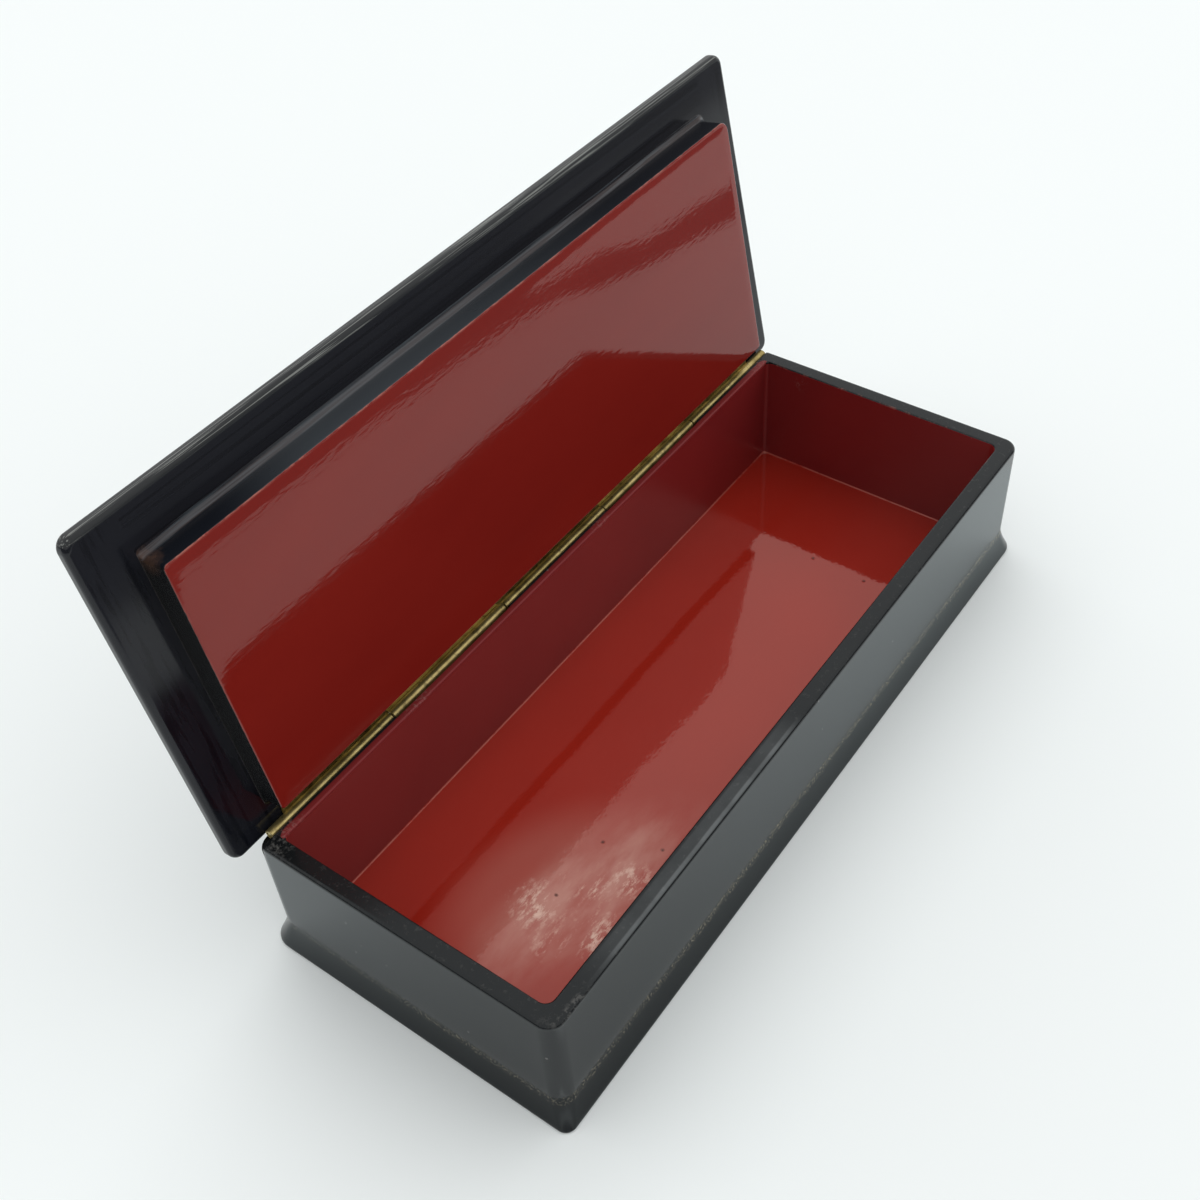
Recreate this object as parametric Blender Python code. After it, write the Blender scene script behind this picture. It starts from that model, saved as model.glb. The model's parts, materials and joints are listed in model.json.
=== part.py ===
"""Long lacquer trinket box: a wound wall ring on a moulded base, with a plugged lid on a full-length brass hinge."""

import math

import bmesh
import bpy
from mathutils import Matrix, Vector

# Wall ring. The back wall is thicker than the others, because it carries the hinge.
BODY_LENGTH = 0.2000
BODY_WIDTH = 0.0786
RIM_HEIGHT = 0.0358
WALL = 0.0044
BACK_WALL = 0.0052
OUTER_CORNER = 0.0040
INNER_CORNER = 0.0022
RIM_ROUND = 0.0006

# Base: a shallow tray with a sloping moulded edge, and the floor panel that lies in it.
BASE_THICKNESS = 0.0014
PLINTH_PROJECTION = 0.0023
PLINTH_HEIGHT = 0.0058
PLINTH_LIP = 0.0003
PLINTH_CORNER = 0.0030
PLINTH_FOOT_ROUND = 0.0006
PLINTH_SLOPE_POWER = 1.15
FLOOR_THICKNESS = 0.0017

# Lid board: a flat underside, a plain square edge and a softly crowned top.
LID_END_OVERHANG = 0.0050
LID_FRONT_OVERHANG = 0.0065
LID_REAR_SETBACK = 0.0005
LID_EDGE = 0.0037
LID_CORNER = 0.0040
LID_UNDER_ROUND = 0.0007
LID_TOP_ROUND = 0.0010
LID_CROWN = 0.0012
LID_CROWN_RUN = 0.0340
LID_CROWN_CORNER = 0.0080

# Plug: the raised panel under the lid that drops inside the walls.
PLUG_DROP = 0.0067
PLUG_END_GAP = 0.0024
PLUG_FRONT_GAP = 0.0008
PLUG_REAR_GAP = 0.0032
PLUG_CORNER = 0.0020
PLUG_COVE = 0.0008
PLUG_FACE_ROUND = 0.0004

# Hinge. Its strip is cut to length from stock of one knuckle pitch, so the end knuckles are shorter.
BARREL_RADIUS = 0.0013
BORE_RADIUS = 0.00085
PIN_RADIUS = 0.00065
HINGE_INSET = 0.0015
HINGE_LEFT_SETBACK = 0.0035
HINGE_RIGHT_SETBACK = 0.0003
KNUCKLE_PITCH = 0.0403
FIRST_KNUCKLE = 0.0386
KNUCKLE_SPACE = 0.0004
KNUCKLE_RELIEF = 0.0013
LEAF_THICKNESS = 0.0006
LEAF_END_SETBACK = 0.0060
BOX_LEAF_DEPTH = 0.0080
LID_LEAF_DEPTH = 0.0064
NECK_WIDTH = 0.0009

# Pins through the two leaves.
LEAF_PIN_COUNT = 5
LEAF_PIN_RADIUS = 0.0005
LEAF_PIN_CLEARANCE = 0.0003
WALL_PIN_LENGTH = 0.0035
LID_PIN_LENGTH = 0.0027

# Clearances: between glued or seated faces, and round the turning knuckles.
SEAT = 0.0003
KNUCKLE_CLEARANCE = 0.0003

# The lid stands open on its stop, leaning back past upright.
LID_OPEN_ANGLE = math.radians(100.8)

CORNER_STEPS = 6
ROUND_STEPS = 3
CROWN_STEPS = 5
BARREL_SIDES = 20
PIN_SIDES = 12
SMOOTH_ANGLE = math.radians(35)
CUT_MARGIN = 0.0020
WELD = 0.000001

# Hinge axis, and the two ends of its barrel.
AXIS_Y = BODY_WIDTH / 2 - HINGE_INSET
AXIS_Z = RIM_HEIGHT - BARREL_RADIUS
HINGE_LEFT = -BODY_LENGTH / 2 + HINGE_LEFT_SETBACK
HINGE_RIGHT = BODY_LENGTH / 2 - HINGE_RIGHT_SETBACK

# The lid's own frame has its origin on the hinge axis, with the lid closed.
LID_UNDER = BARREL_RADIUS + SEAT
LID_TOP = LID_UNDER + LID_EDGE

BLACK_LACQUER = ((0.010, 0.011, 0.012), 0.16, 0.0)
RED_LACQUER = ((0.210, 0.014, 0.011), 0.22, 0.0)
BRASS = ((0.480, 0.370, 0.130), 0.34, 1.0)


def clear_scene():
    for item in list(bpy.data.objects):
        bpy.data.objects.remove(item, do_unlink=True)


def finish_material(name, finish):
    colour, roughness, metallic = finish
    material = bpy.data.materials.new(name)
    material.use_nodes = True
    shader = material.node_tree.nodes["Principled BSDF"]
    shader.inputs["Base Color"].default_value = (*colour, 1.0)
    shader.inputs["Roughness"].default_value = roughness
    shader.inputs["Metallic"].default_value = metallic
    return material


def make_object(name, bm, finish=None, parent=None):
    """The object of a finished mesh. One with no finish is a cutter, which only shapes other pieces."""
    bmesh.ops.recalc_face_normals(bm, faces=bm.faces[:])
    mesh = bpy.data.meshes.new(name)
    bm.to_mesh(mesh)
    bm.free()
    mesh.shade_smooth()
    mesh.set_sharp_from_angle(angle=SMOOTH_ANGLE)
    item = bpy.data.objects.new(name, mesh)
    bpy.context.scene.collection.objects.link(item)
    item.parent = parent
    if finish:
        mesh.materials.append(finish_material(name, finish))
    else:
        item.hide_render = True
        item.display_type = "WIRE"
    return item


def shape_with(item, tool, operation):
    modifier = item.modifiers.new(tool.name, "BOOLEAN")
    modifier.operation = operation
    modifier.solver = "EXACT"
    modifier.object = tool


def rounded_loop(low, high, radius, z):
    """Corner points of a rounded rectangle between two XY corners, at one height."""
    centres = (
        (high[0] - radius, high[1] - radius),
        (low[0] + radius, high[1] - radius),
        (low[0] + radius, low[1] + radius),
        (high[0] - radius, low[1] + radius),
    )
    points = []
    for quarter, (x, y) in enumerate(centres):
        for step in range(CORNER_STEPS + 1):
            turn = math.pi / 2 * (quarter + step / CORNER_STEPS)
            points.append((x + radius * math.cos(turn), y + radius * math.sin(turn), z))
    return points


def grown(low, high, by):
    return (low[0] - by, low[1] - by), (high[0] + by, high[1] + by)


def loft(name, loops, finish, parent=None, ring=False):
    """A solid through a stack of loops: a ring closes on its first loop, and a plain stack is capped."""
    bm = bmesh.new()
    verts = [bm.verts.new(point) for point in loops[0]]
    edges = [bm.edges.new(pair) for pair in zip(verts, verts[1:] + verts[:1])]
    if not ring:
        bmesh.ops.contextual_create(bm, geom=edges)
    for points in loops[1:] + loops[:ring]:
        made = set(bmesh.ops.extrude_edge_only(bm, edges=edges)["geom"])
        raised = []
        for vert, point in zip(verts, points):
            partner = next(edge.other_vert(vert) for edge in vert.link_edges if edge.other_vert(vert) in made)
            partner.co = point
            raised.append(partner)
        verts = raised
        edges = [bm.edges.get(pair) for pair in zip(verts, verts[1:] + verts[:1])]
    if ring:
        bmesh.ops.remove_doubles(bm, verts=bm.verts[:], dist=WELD)
    else:
        bmesh.ops.contextual_create(bm, geom=edges)
    return make_object(name, bm, finish, parent)


def blocks(name, corners, finish=None, parent=None):
    """One box for each pair of opposite corners."""
    bm = bmesh.new()
    for low, high in corners:
        low, high = Vector(low), Vector(high)
        place = Matrix.Translation((low + high) / 2) @ Matrix.Diagonal((*(high - low), 1.0))
        bmesh.ops.create_cube(bm, size=1.0, matrix=place)
    return make_object(name, bm, finish, parent)


def rods(name, runs, radius, sides, finish=None, parent=None):
    """One round rod for each pair of end points."""
    bm = bmesh.new()
    for start, end in runs:
        start, end = Vector(start), Vector(end)
        turn = (end - start).to_track_quat("Z", "Y").to_matrix().to_4x4()
        place = Matrix.Translation((start + end) / 2) @ turn
        bmesh.ops.create_cone(
            bm, cap_ends=True, segments=sides, radius1=radius, radius2=radius,
            depth=(end - start).length, matrix=place,
        )
    return make_object(name, bm, finish, parent)


def body_outline():
    return (-BODY_LENGTH / 2, -BODY_WIDTH / 2), (BODY_LENGTH / 2, BODY_WIDTH / 2)


def inside_outline():
    (left, front), (right, back) = body_outline()
    return (left + WALL, front + WALL), (right - WALL, back - BACK_WALL)


def knuckle_spans():
    """Left and right end of each knuckle, from the left end of the barrel to its right end."""
    ends = [HINGE_LEFT]
    joint = HINGE_LEFT + FIRST_KNUCKLE
    while joint < HINGE_RIGHT - KNUCKLE_PITCH / 4:
        ends.append(joint)
        joint += KNUCKLE_PITCH
    ends.append(HINGE_RIGHT)
    spans = []
    for left, right in zip(ends, ends[1:]):
        spans.append((left + KNUCKLE_SPACE / 2, right - KNUCKLE_SPACE / 2))
    return spans


def leaf_span():
    return HINGE_LEFT + LEAF_END_SETBACK, HINGE_RIGHT - LEAF_END_SETBACK


def leaf_pin_places():
    left, right = leaf_span()
    pitch = (right - left) / LEAF_PIN_COUNT
    return [left + pitch * (index + 0.5) for index in range(LEAF_PIN_COUNT)]


def wall_pin_height():
    return AXIS_Z - BARREL_RADIUS - KNUCKLE_CLEARANCE - BOX_LEAF_DEPTH / 2


def lid_pin_y():
    return -LID_LEAF_DEPTH / 2


def box_walls():
    outer, inner = body_outline(), inside_outline()
    foot = BASE_THICKNESS + SEAT
    loops = [rounded_loop(*outer, OUTER_CORNER, foot)]
    for step in range(ROUND_STEPS + 1):
        turn = math.pi / 2 * step / ROUND_STEPS
        inward = RIM_ROUND * (1 - math.cos(turn))
        z = RIM_HEIGHT - RIM_ROUND * (1 - math.sin(turn))
        loops.append(rounded_loop(*grown(*outer, -inward), OUTER_CORNER - inward, z))
    for step in range(ROUND_STEPS + 1):
        turn = math.pi / 2 * step / ROUND_STEPS
        outward = RIM_ROUND * (1 - math.sin(turn))
        z = RIM_HEIGHT - RIM_ROUND * (1 - math.cos(turn))
        loops.append(rounded_loop(*grown(*inner, outward), INNER_CORNER + outward, z))
    loops.append(rounded_loop(*inner, INNER_CORNER, foot))
    walls = loft("box_walls", loops, BLACK_LACQUER, ring=True)

    # The barrel's rebate runs the whole length of the back wall and is open behind.
    reach = BARREL_RADIUS + KNUCKLE_CLEARANCE
    beyond = BODY_LENGTH / 2 + CUT_MARGIN
    rebate_floor = AXIS_Z - reach
    behind = (BODY_WIDTH / 2 + CUT_MARGIN, RIM_HEIGHT + CUT_MARGIN)
    rebate = blocks("hinge_rebate", [((-beyond, AXIS_Y - reach, rebate_floor), (beyond, *behind))])
    shape_with(walls, rebate, "DIFFERENCE")

    # The lid's knuckles turn, so the rim in front of them is cut further back.
    reliefs = []
    for left, right in knuckle_spans()[1::2]:
        reliefs.append((
            (left - KNUCKLE_SPACE, AXIS_Y - reach - KNUCKLE_RELIEF, rebate_floor),
            (right + KNUCKLE_SPACE, *behind),
        ))
    shape_with(walls, blocks("knuckle_reliefs", reliefs), "DIFFERENCE")

    left, right = leaf_span()
    half_slot = LEAF_THICKNESS / 2 + SEAT
    slot = blocks("leaf_slot", [(
        (left - SEAT, AXIS_Y - half_slot, rebate_floor - BOX_LEAF_DEPTH - SEAT),
        (right + SEAT, AXIS_Y + half_slot, RIM_HEIGHT),
    )])
    shape_with(walls, slot, "DIFFERENCE")

    z = wall_pin_height()
    hole_end = BODY_WIDTH / 2 - SEAT - WALL_PIN_LENGTH - SEAT
    holes = [((x, hole_end, z), (x, BODY_WIDTH / 2 + CUT_MARGIN, z)) for x in leaf_pin_places()]
    hole_radius = LEAF_PIN_RADIUS + LEAF_PIN_CLEARANCE
    shape_with(walls, rods("wall_pin_holes", holes, hole_radius, PIN_SIDES), "DIFFERENCE")


def floor_panel():
    low, high = grown(*inside_outline(), -SEAT)
    foot = BASE_THICKNESS + SEAT
    corner = INNER_CORNER - SEAT
    loops = [rounded_loop(low, high, corner, z) for z in (foot, foot + FLOOR_THICKNESS)]
    loft("floor_panel", loops, RED_LACQUER)


def base_plinth():
    outer = body_outline()
    lip = SEAT + PLINTH_LIP
    loops = []
    for step in range(ROUND_STEPS + 1):
        turn = math.pi / 2 * step / ROUND_STEPS
        offset = PLINTH_PROJECTION - PLINTH_FOOT_ROUND * (1 - math.sin(turn))
        z = PLINTH_FOOT_ROUND * (1 - math.cos(turn))
        loops.append(rounded_loop(*grown(*outer, offset), PLINTH_CORNER, z))
    for step in range(1, CROWN_STEPS + 1):
        rise = step / CROWN_STEPS
        offset = lip + (PLINTH_PROJECTION - lip) * (1 - rise) ** PLINTH_SLOPE_POWER
        corner = PLINTH_CORNER + (OUTER_CORNER + lip - PLINTH_CORNER) * rise
        z = PLINTH_FOOT_ROUND + (PLINTH_HEIGHT - PLINTH_FOOT_ROUND) * rise
        loops.append(rounded_loop(*grown(*outer, offset), corner, z))
    for z in (PLINTH_HEIGHT, BASE_THICKNESS):
        loops.append(rounded_loop(*grown(*outer, SEAT), OUTER_CORNER + SEAT, z))
    loft("base_plinth", loops, BLACK_LACQUER)


def lid_outline():
    half = BODY_LENGTH / 2 + LID_END_OVERHANG
    front = -AXIS_Y - BODY_WIDTH / 2 - LID_FRONT_OVERHANG
    return (-half, front), (half, HINGE_INSET - LID_REAR_SETBACK)


def lid_board(hinge):
    outline = lid_outline()
    loops = []
    for step in range(ROUND_STEPS + 1):
        turn = math.pi / 2 * step / ROUND_STEPS
        inward = LID_UNDER_ROUND * (1 - math.sin(turn))
        z = LID_UNDER + LID_UNDER_ROUND * (1 - math.cos(turn))
        loops.append(rounded_loop(*grown(*outline, -inward), LID_CORNER - inward, z))
    for step in range(ROUND_STEPS + 1):
        turn = math.pi / 2 * step / ROUND_STEPS
        inward = LID_TOP_ROUND * (1 - math.cos(turn))
        z = LID_TOP - LID_TOP_ROUND * (1 - math.sin(turn))
        loops.append(rounded_loop(*grown(*outline, -inward), LID_CORNER - inward, z))
    edge_corner = LID_CORNER - LID_TOP_ROUND
    crown_corner = min(LID_CROWN_CORNER, (outline[1][1] - outline[0][1]) / 2 - LID_TOP_ROUND - LID_CROWN_RUN)
    for step in range(1, CROWN_STEPS + 1):
        run = step / CROWN_STEPS
        inward = LID_TOP_ROUND + LID_CROWN_RUN * run
        z = LID_TOP + LID_CROWN * (1 - (1 - run) ** 2)
        corner = edge_corner + (crown_corner - edge_corner) * run
        loops.append(rounded_loop(*grown(*outline, -inward), corner, z))
    board = loft("lid_board", loops, BLACK_LACQUER, hinge)

    left, right = leaf_span()
    recess = blocks("lid_leaf_recess", [(
        (left - SEAT, -LID_LEAF_DEPTH - SEAT, LID_UNDER - CUT_MARGIN),
        (right + SEAT, SEAT, LID_UNDER + LEAF_THICKNESS + SEAT),
    )], parent=hinge)
    shape_with(board, recess, "DIFFERENCE")

    y = lid_pin_y()
    top = LID_UNDER + LID_PIN_LENGTH + SEAT
    holes = [((x, y, LID_UNDER - CUT_MARGIN), (x, y, top)) for x in leaf_pin_places()]
    hole_radius = LEAF_PIN_RADIUS + LEAF_PIN_CLEARANCE
    drill = rods("lid_pin_holes", holes, hole_radius, PIN_SIDES, parent=hinge)
    shape_with(board, drill, "DIFFERENCE")


def lid_plug(hinge):
    half = BODY_LENGTH / 2 - WALL - PLUG_END_GAP
    front = -AXIS_Y - BODY_WIDTH / 2 + WALL + PLUG_FRONT_GAP
    rear = BODY_WIDTH / 2 - BACK_WALL - PLUG_REAR_GAP - AXIS_Y
    outline = (-half, front), (half, rear)
    face = LID_UNDER - PLUG_DROP
    loops = []
    for step in range(ROUND_STEPS + 1):
        turn = math.pi / 2 * step / ROUND_STEPS
        inward = PLUG_FACE_ROUND * (1 - math.sin(turn))
        z = face + PLUG_FACE_ROUND * (1 - math.cos(turn))
        loops.append(rounded_loop(*grown(*outline, -inward), PLUG_CORNER - inward, z))
    root = LID_UNDER - SEAT
    for step in range(ROUND_STEPS + 1):
        turn = math.pi / 2 * step / ROUND_STEPS
        outward = PLUG_COVE * (1 - math.cos(turn))
        z = root - PLUG_COVE * (1 - math.sin(turn))
        loops.append(rounded_loop(*grown(*outline, outward), PLUG_CORNER + outward, z))
    loft("lid_plug", loops, RED_LACQUER, hinge)


def finish_leaf(leaf, spans, necks, pin_holes, y, z, parent):
    """Adds a leaf's knuckles on the axis through (y, z), then drills the bore and the pin holes."""
    tubes = [((left, y, z), (right, y, z)) for left, right in spans]
    shape_with(leaf, blocks(leaf.name + "_necks", necks, parent=parent), "UNION")
    shape_with(leaf, rods(leaf.name + "_tubes", tubes, BARREL_RADIUS, BARREL_SIDES, parent=parent), "UNION")
    bore = [((HINGE_LEFT - CUT_MARGIN, y, z), (HINGE_RIGHT + CUT_MARGIN, y, z))]
    drill = rods(leaf.name + "_bore", bore, BORE_RADIUS, BARREL_SIDES, parent=parent)
    shape_with(leaf, drill, "DIFFERENCE")
    hole_radius = LEAF_PIN_RADIUS + LEAF_PIN_CLEARANCE
    drill = rods(leaf.name + "_pin_holes", pin_holes, hole_radius, PIN_SIDES, parent=parent)
    shape_with(leaf, drill, "DIFFERENCE")


def hinge_box_leaf():
    left, right = leaf_span()
    half = LEAF_THICKNESS / 2
    top = AXIS_Z - BARREL_RADIUS - KNUCKLE_CLEARANCE
    mouth = (BORE_RADIUS + BARREL_RADIUS) / 2
    leaf = blocks("hinge_box_leaf", [
        ((left, AXIS_Y - half, top - BOX_LEAF_DEPTH), (right, AXIS_Y + half, top)),
    ], BRASS)
    spans = knuckle_spans()[0::2]
    necks = []
    for start, end in spans:
        low = (max(start, left) + SEAT, AXIS_Y - half / 2, top - LEAF_THICKNESS)
        necks.append((low, (min(end, right) - SEAT, AXIS_Y + half / 2, AXIS_Z - mouth)))
    z = wall_pin_height()
    holes = [((x, AXIS_Y - CUT_MARGIN, z), (x, AXIS_Y + CUT_MARGIN, z)) for x in leaf_pin_places()]
    finish_leaf(leaf, spans, necks, holes, AXIS_Y, AXIS_Z, None)


def hinge_lid_leaf(hinge):
    left, right = leaf_span()
    mouth = (BORE_RADIUS + BARREL_RADIUS) / 2
    leaf = blocks("hinge_lid_leaf", [
        ((left, -LID_LEAF_DEPTH, LID_UNDER), (right, 0.0, LID_UNDER + LEAF_THICKNESS)),
    ], BRASS, hinge)
    spans = knuckle_spans()[1::2]
    necks = []
    for start, end in spans:
        low = (start + SEAT, -NECK_WIDTH, mouth)
        necks.append((low, (end - SEAT, -SEAT, LID_UNDER + LEAF_THICKNESS / 2)))
    y = lid_pin_y()
    holes = []
    for x in leaf_pin_places():
        holes.append(((x, y, LID_UNDER - CUT_MARGIN), (x, y, LID_UNDER + CUT_MARGIN)))
    finish_leaf(leaf, spans, necks, holes, 0.0, 0.0, hinge)


def hinge_pin():
    run = [((HINGE_LEFT + SEAT, AXIS_Y, AXIS_Z), (HINGE_RIGHT - SEAT, AXIS_Y, AXIS_Z))]
    rods("hinge_pin", run, PIN_RADIUS, PIN_SIDES, BRASS)


def leaf_pins(hinge):
    z = wall_pin_height()
    end = BODY_WIDTH / 2 - SEAT
    for number, x in enumerate(leaf_pin_places(), 1):
        run = [((x, end - WALL_PIN_LENGTH, z), (x, end, z))]
        rods(f"wall_pin_{number}", run, LEAF_PIN_RADIUS, PIN_SIDES, BRASS)
    y = lid_pin_y()
    for number, x in enumerate(leaf_pin_places(), 1):
        run = [((x, y, LID_UNDER), (x, y, LID_UNDER + LID_PIN_LENGTH))]
        rods(f"lid_pin_{number}", run, LEAF_PIN_RADIUS, PIN_SIDES, BRASS, hinge)


def lid_hinge():
    """Empty on the hinge axis that carries the lid, turned to the open stop."""
    hinge = bpy.data.objects.new("lid_hinge", None)
    bpy.context.scene.collection.objects.link(hinge)
    hinge.location = (0.0, AXIS_Y, AXIS_Z)
    hinge.rotation_euler = (-LID_OPEN_ANGLE, 0.0, 0.0)
    return hinge


def main():
    clear_scene()
    hinge = lid_hinge()
    box_walls()
    floor_panel()
    base_plinth()
    lid_board(hinge)
    lid_plug(hinge)
    hinge_box_leaf()
    hinge_lid_leaf(hinge)
    hinge_pin()
    leaf_pins(hinge)
    bpy.context.view_layer.update()


main()
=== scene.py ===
import json
import math

import bmesh
import bpy
from mathutils import Matrix, Vector


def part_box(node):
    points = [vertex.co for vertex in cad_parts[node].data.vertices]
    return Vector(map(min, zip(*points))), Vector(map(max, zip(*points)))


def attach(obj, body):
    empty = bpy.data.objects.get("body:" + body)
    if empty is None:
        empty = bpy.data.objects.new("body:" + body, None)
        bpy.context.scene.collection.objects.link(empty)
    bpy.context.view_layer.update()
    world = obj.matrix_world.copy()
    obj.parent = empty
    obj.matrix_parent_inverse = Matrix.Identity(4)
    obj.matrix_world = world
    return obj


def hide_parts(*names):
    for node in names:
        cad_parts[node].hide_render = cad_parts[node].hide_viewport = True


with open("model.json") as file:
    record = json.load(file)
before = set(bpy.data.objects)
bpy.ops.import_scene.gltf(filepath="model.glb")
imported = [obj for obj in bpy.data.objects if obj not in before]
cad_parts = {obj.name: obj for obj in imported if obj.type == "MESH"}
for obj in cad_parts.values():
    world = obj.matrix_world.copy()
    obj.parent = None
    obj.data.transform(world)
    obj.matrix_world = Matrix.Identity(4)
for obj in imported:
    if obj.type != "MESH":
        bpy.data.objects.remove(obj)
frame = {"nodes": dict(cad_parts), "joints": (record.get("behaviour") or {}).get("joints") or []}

mm = 0.001
origin = Vector((0, 0, 0))
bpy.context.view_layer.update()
nodes = frame["nodes"]
lidJoint = frame["joints"][0]
hingePoint = Vector(lidJoint["pos_m"])
openAngle = math.radians(lidJoint["range_deg"][1])

# the lid stands open at rest: its pieces are modelled closed, about the hinge line, then swung open
swingOpen = Matrix.Translation(hingePoint) @ Matrix.Rotation(-openAngle, 4, "X")
swingClosed = swingOpen.inverted()


def closedBox(node):
    points = [swingClosed @ v.co for v in nodes[node].data.vertices]
    low = Vector([min(p[i] for p in points) for i in range(3)])
    high = Vector([max(p[i] for p in points) for i in range(3)])
    return low, high


wallsLow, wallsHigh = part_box("box_walls")
floorLow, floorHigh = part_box("floor_panel")
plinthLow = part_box("base_plinth")[0]
barrelLow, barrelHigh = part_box("hinge_box_leaf")
lidLow, lidHigh = closedBox("lid_board")
plugLow, plugHigh = closedBox("lid_plug")
lidLeafLow = closedBox("hinge_lid_leaf")[0]
rimZ = wallsHigh.z
print("frame loaded:", len(nodes), "nodes, lid open", round(math.degrees(openAngle), 1))

# sizes of the walls and the plug, which the paint on them follows too
wallRing = {
    "wall": 4.4 * mm, "backWall": 5.2 * mm,
    "outerCorner": 4.0 * mm, "innerCorner": 2.2 * mm, "backCorner": 0.9 * mm, "cornerSteps": 12,
    "outerRim": 1.0 * mm, "innerRim": 0.5 * mm, "rimSteps": 5,
    "rebateReach": 1.6 * mm, "knuckleRelief": 0.6 * mm,
}
lidPlug = {
    "inset": 0.8 * mm, "lean": math.radians(0.9),
    "corner": 1.0 * mm, "wornCorner": 3.0 * mm, "cornerSteps": 8,
    "cove": 1.7 * mm, "coveEnds": 0.08, "coveSteps": 10, "faceRound": 0.35 * mm, "roundSteps": 3,
    "easeWidth": 2.6 * mm, "easeDrop": 0.10 * mm, "easeSteps": 4, "easeCorner": 0.85,
}
insideLow = Vector((wallsLow.x + wallRing["wall"], wallsLow.y + wallRing["wall"], wallsLow.z))
insideHigh = Vector((wallsHigh.x - wallRing["wall"], wallsHigh.y - wallRing["backWall"], rimZ))
insideMiddle = (insideLow + insideHigh) / 2
insideHalf = (insideHigh - insideLow) / 2
plugInset = Vector((lidPlug["inset"], lidPlug["inset"], 0))
plugMiddle = (plugLow + plugHigh) / 2
plugHalf = (plugHigh - plugLow) / 2 - plugInset
plugLean = math.tan(lidPlug["lean"])


# shader helpers: a value that is a socket is linked, and a plain one is set
def addNode(tree, kind, inputs=None, **settings):
    made = tree.nodes.new(kind)
    for name, value in settings.items():
        setattr(made, name, value)
    for name, value in (inputs or {}).items():
        if isinstance(value, bpy.types.NodeSocket):
            tree.links.new(value, made.inputs[name])
        else:
            made.inputs[name].default_value = value
    return made


def calc(tree, operation, a, b=0.0, c=0.0, clamp=False):
    made = addNode(tree, "ShaderNodeMath", {0: a, 1: b, 2: c}, operation=operation, use_clamp=clamp)
    return made.outputs[0]


def vectorCalc(tree, operation, a, b=(0, 0, 0)):
    return addNode(tree, "ShaderNodeVectorMath", {0: a, 1: b}, operation=operation).outputs


def axes(tree, vector):
    return addNode(tree, "ShaderNodeSeparateXYZ", {0: vector}).outputs


def noise(tree, vector, scale, detail, **more):
    inputs = {"Vector": vector, "Scale": scale, "Detail": detail, **more}
    return addNode(tree, "ShaderNodeTexNoise", inputs).outputs[0]


def stretched(tree, vector, scale, turn=0.0):
    inputs = {"Vector": vector, "Rotation": (0, 0, turn), "Scale": scale}
    return addNode(tree, "ShaderNodeMapping", inputs).outputs[0]


def blendColour(tree, share, first, second):
    made = addNode(tree, "ShaderNodeMix", {0: share, 6: first, 7: second}, data_type="RGBA")
    return made.outputs[2]


def blendValue(tree, share, first, second):
    made = addNode(tree, "ShaderNodeMix", {0: share, 2: first, 3: second}, data_type="FLOAT")
    return made.outputs[0]


def between(tree, value, low, high):
    # 0 under low, 1 over high, smooth in between
    made = addNode(tree, "ShaderNodeMapRange", {"Value": value, "From Min": low, "From Max": high},
                   interpolation_type="SMOOTHSTEP")
    return made.outputs["Result"]


def opposite(tree, mask):
    return calc(tree, "SUBTRACT", 1.0, mask)


def allOf(tree, *masks):
    found = masks[0]
    for mask in masks[1:]:
        found = calc(tree, "MULTIPLY", found, mask)
    return found


def anyOf(tree, *masks):
    found = masks[0]
    for mask in masks[1:]:
        found = calc(tree, "MAXIMUM", found, mask)
    return found


def span(tree, value, starts, ends):
    return allOf(tree, between(tree, value, *starts), opposite(tree, between(tree, value, *ends)))


def oval(tree, vector, middle, size, fade, turn):
    # 1 in the middle of an oval, 0 past its edge
    inputs = {"Vector": vector, "Location": middle, "Rotation": (0, 0, turn), "Scale": size}
    over = addNode(tree, "ShaderNodeMapping", inputs, vector_type="TEXTURE").outputs[0]
    return opposite(tree, between(tree, vectorCalc(tree, "LENGTH", over)["Value"], *fade))


def paintOver(tree, under, mask, over, share):
    return blendColour(tree, allOf(tree, mask, share), under, over)


def newGroup(name, inputs, outputs):
    # an input without a value is a vector
    group = bpy.data.node_groups.new(name, "ShaderNodeTree")
    for label, value in inputs.items():
        kind = "NodeSocketVector" if value is None else "NodeSocketFloat"
        socket = group.interface.new_socket(label, in_out="INPUT", socket_type=kind)
        if value is not None:
            socket.default_value = value
    for label in outputs:
        group.interface.new_socket(label, in_out="OUTPUT", socket_type="NodeSocketFloat")
    return group, group.nodes.new("NodeGroupInput").outputs, group.nodes.new("NodeGroupOutput").inputs


def useGroup(tree, group, **inputs):
    return addNode(tree, "ShaderNodeGroup", inputs, node_tree=group).outputs


# skin: slow waves and fine peel of hand-laid lacquer, with a cloudy mask for colour
lacquerSkin, given, result = newGroup("lacquerSkin", {
    "Vector": None, "Broad": 45.0, "BroadShare": 1.0, "Fine": 500.0, "FineShare": 0.1,
}, ["Height", "Cloud"])
broad = noise(lacquerSkin, given["Vector"], given["Broad"], detail=2.0)
fine = noise(lacquerSkin, given["Vector"], given["Fine"], detail=1.0)
waves = calc(lacquerSkin, "MULTIPLY", broad, given["BroadShare"])
height = calc(lacquerSkin, "MULTIPLY_ADD", fine, given["FineShare"], waves)
lacquerSkin.links.new(height, result["Height"])
lacquerSkin.links.new(broad, result["Cloud"])

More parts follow.
